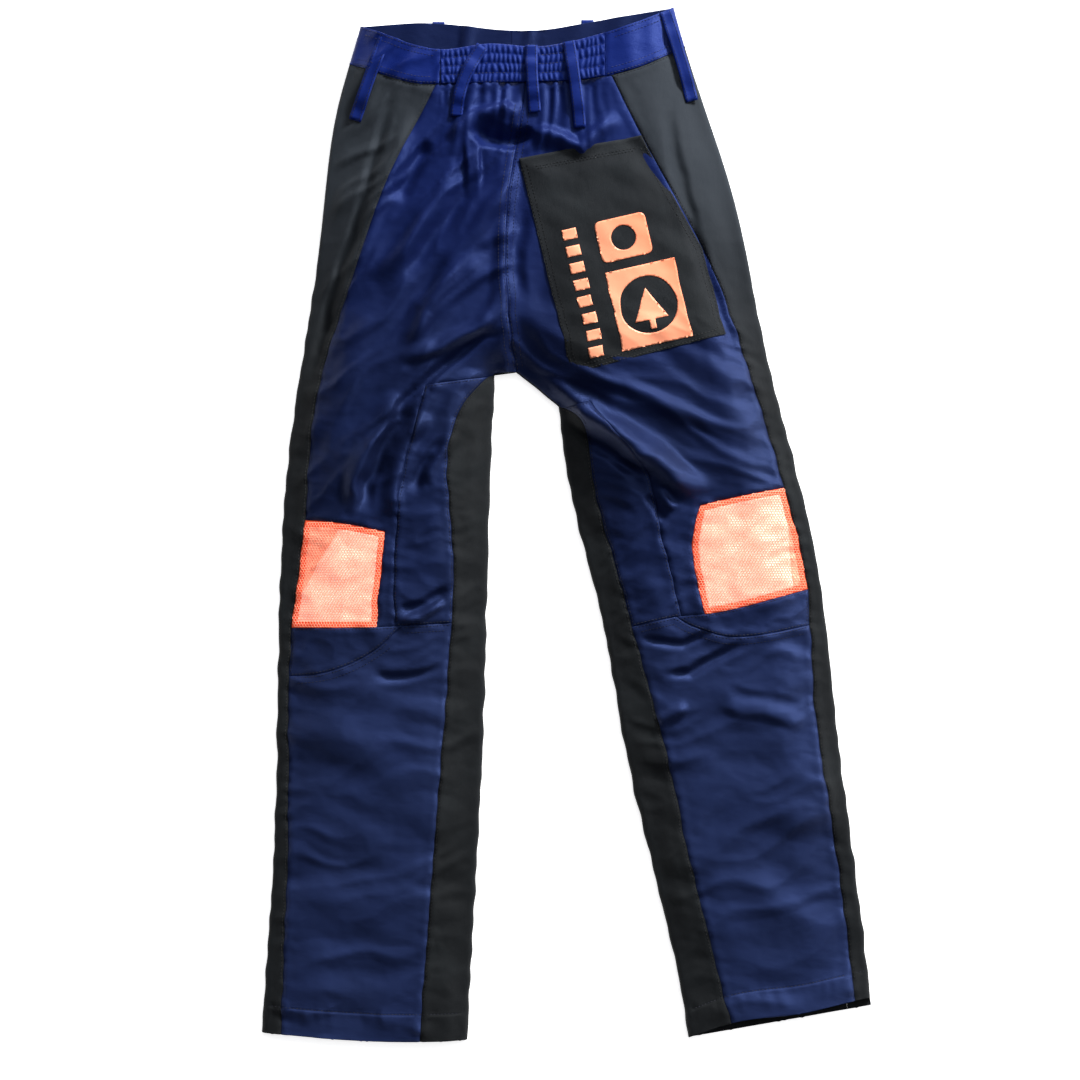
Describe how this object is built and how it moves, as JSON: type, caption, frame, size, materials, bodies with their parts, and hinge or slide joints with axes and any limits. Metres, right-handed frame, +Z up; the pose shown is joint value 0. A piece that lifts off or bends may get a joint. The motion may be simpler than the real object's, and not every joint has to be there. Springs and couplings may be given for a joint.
{
  "type": "chainsaw protective trousers",
  "caption": "Work trousers laid flat on their front, back side up: stretch navy back, charcoal side and inner panels, net knee vents, elastic waist, belt loops, printed rear pocket.",
  "frame": {"origin": "middle of the footprint, on the surface that the trousers lie on", "axes": "+X towards the wearer's right, +Y from the hems to the waist, +Z up through the back of the garment"},
  "size_m": [0.6432, 1.0891, 0.0409],
  "materials": {
    "navy_twill": "satin",
    "royal_twill": "satin",
    "charcoal_shell": "matte",
    "orange_net": "matte",
    "orange_print": "satin",
    "saw_stopping_fibre": "matte",
    "lining_mesh": "matte",
    "elastic_web": "matte",
    "zip_tape_cloth": "matte",
    "zip_metal": "satin",
    "button_metal": "satin"
  },
  "bodies": {
    "trousers": {"belt_loop_back_left": "navy_twill", "belt_loop_back_right": "navy_twill", "belt_loop_centre_back": "navy_twill", "belt_loop_front_left": "navy_twill", "belt_loop_front_right": "navy_twill", "belt_loop_side_left": "navy_twill", "belt_loop_side_right": "navy_twill", "button_tack": "button_metal", "calf_panel_left": "navy_twill", "calf_panel_right": "navy_twill", "elastic_casing_inner": "navy_twill", "elastic_casing_outer": "navy_twill", "fly_facing_left": "navy_twill", "fly_facing_right": "navy_twill", "fly_shield": "navy_twill", "front_panel_left": "charcoal_shell", "front_panel_right": "charcoal_shell", "front_pocket_bag_back_left": "lining_mesh", "front_pocket_bag_back_right": "lining_mesh", "front_pocket_bag_front_left": "lining_mesh", "front_pocket_bag_front_right": "lining_mesh", "front_pocket_bag_seam_left": "lining_mesh", "front_pocket_bag_seam_right": "lining_mesh", "front_pocket_facing_left": "navy_twill", "front_pocket_facing_right": "navy_twill", "hem_facing_left": "navy_twill", "hem_facing_right": "navy_twill", "inner_leg_panel_left": "charcoal_shell", "inner_leg_panel_right": "charcoal_shell", "knee_vent_mesh_left": "orange_net", "knee_vent_mesh_right": "orange_net", "leg_lining_left": "lining_mesh", "leg_lining_right": "lining_mesh", "protective_layers_left": "saw_stopping_fibre", "protective_layers_right": "saw_stopping_fibre", "rear_pocket": "charcoal_shell", "rear_pocket_print": "orange_print", "seat_panel_left": "navy_twill", "seat_panel_right": "navy_twill", "side_panel_left": "charcoal_shell", "side_panel_right": "charcoal_shell", "thigh_gusset_left": "navy_twill", "thigh_gusset_right": "navy_twill", "vent_yoke_left": "navy_twill", "vent_yoke_right": "navy_twill", "waist_button": "button_metal", "waist_elastic": "elastic_web", "waistband_left": "royal_twill", "waistband_right": "royal_twill", "zip_bottom_stop": "zip_metal", "zip_tape_left": "zip_tape_cloth", "zip_tape_right": "zip_tape_cloth", "zip_teeth_left": "zip_metal", "zip_teeth_right": "zip_metal", "zip_top_stops": "zip_metal"},
    "slider": {"zip_slider": "zip_metal"},
    "pull": {"zip_pull": "zip_metal"}
  },
  "joints": [
    {"name": "zip_slide", "type": "slide", "parent": "trousers", "child": "slider", "axis": [0, -1, 0], "range_m": [0, 0.143]},
    {"name": "pull_swing", "type": "hinge", "parent": "slider", "child": "pull", "pos_m": [-0.04, 0.4637, 0.0041], "axis": [1, 0, 0], "range_deg": [0, 170]}
  ]
}
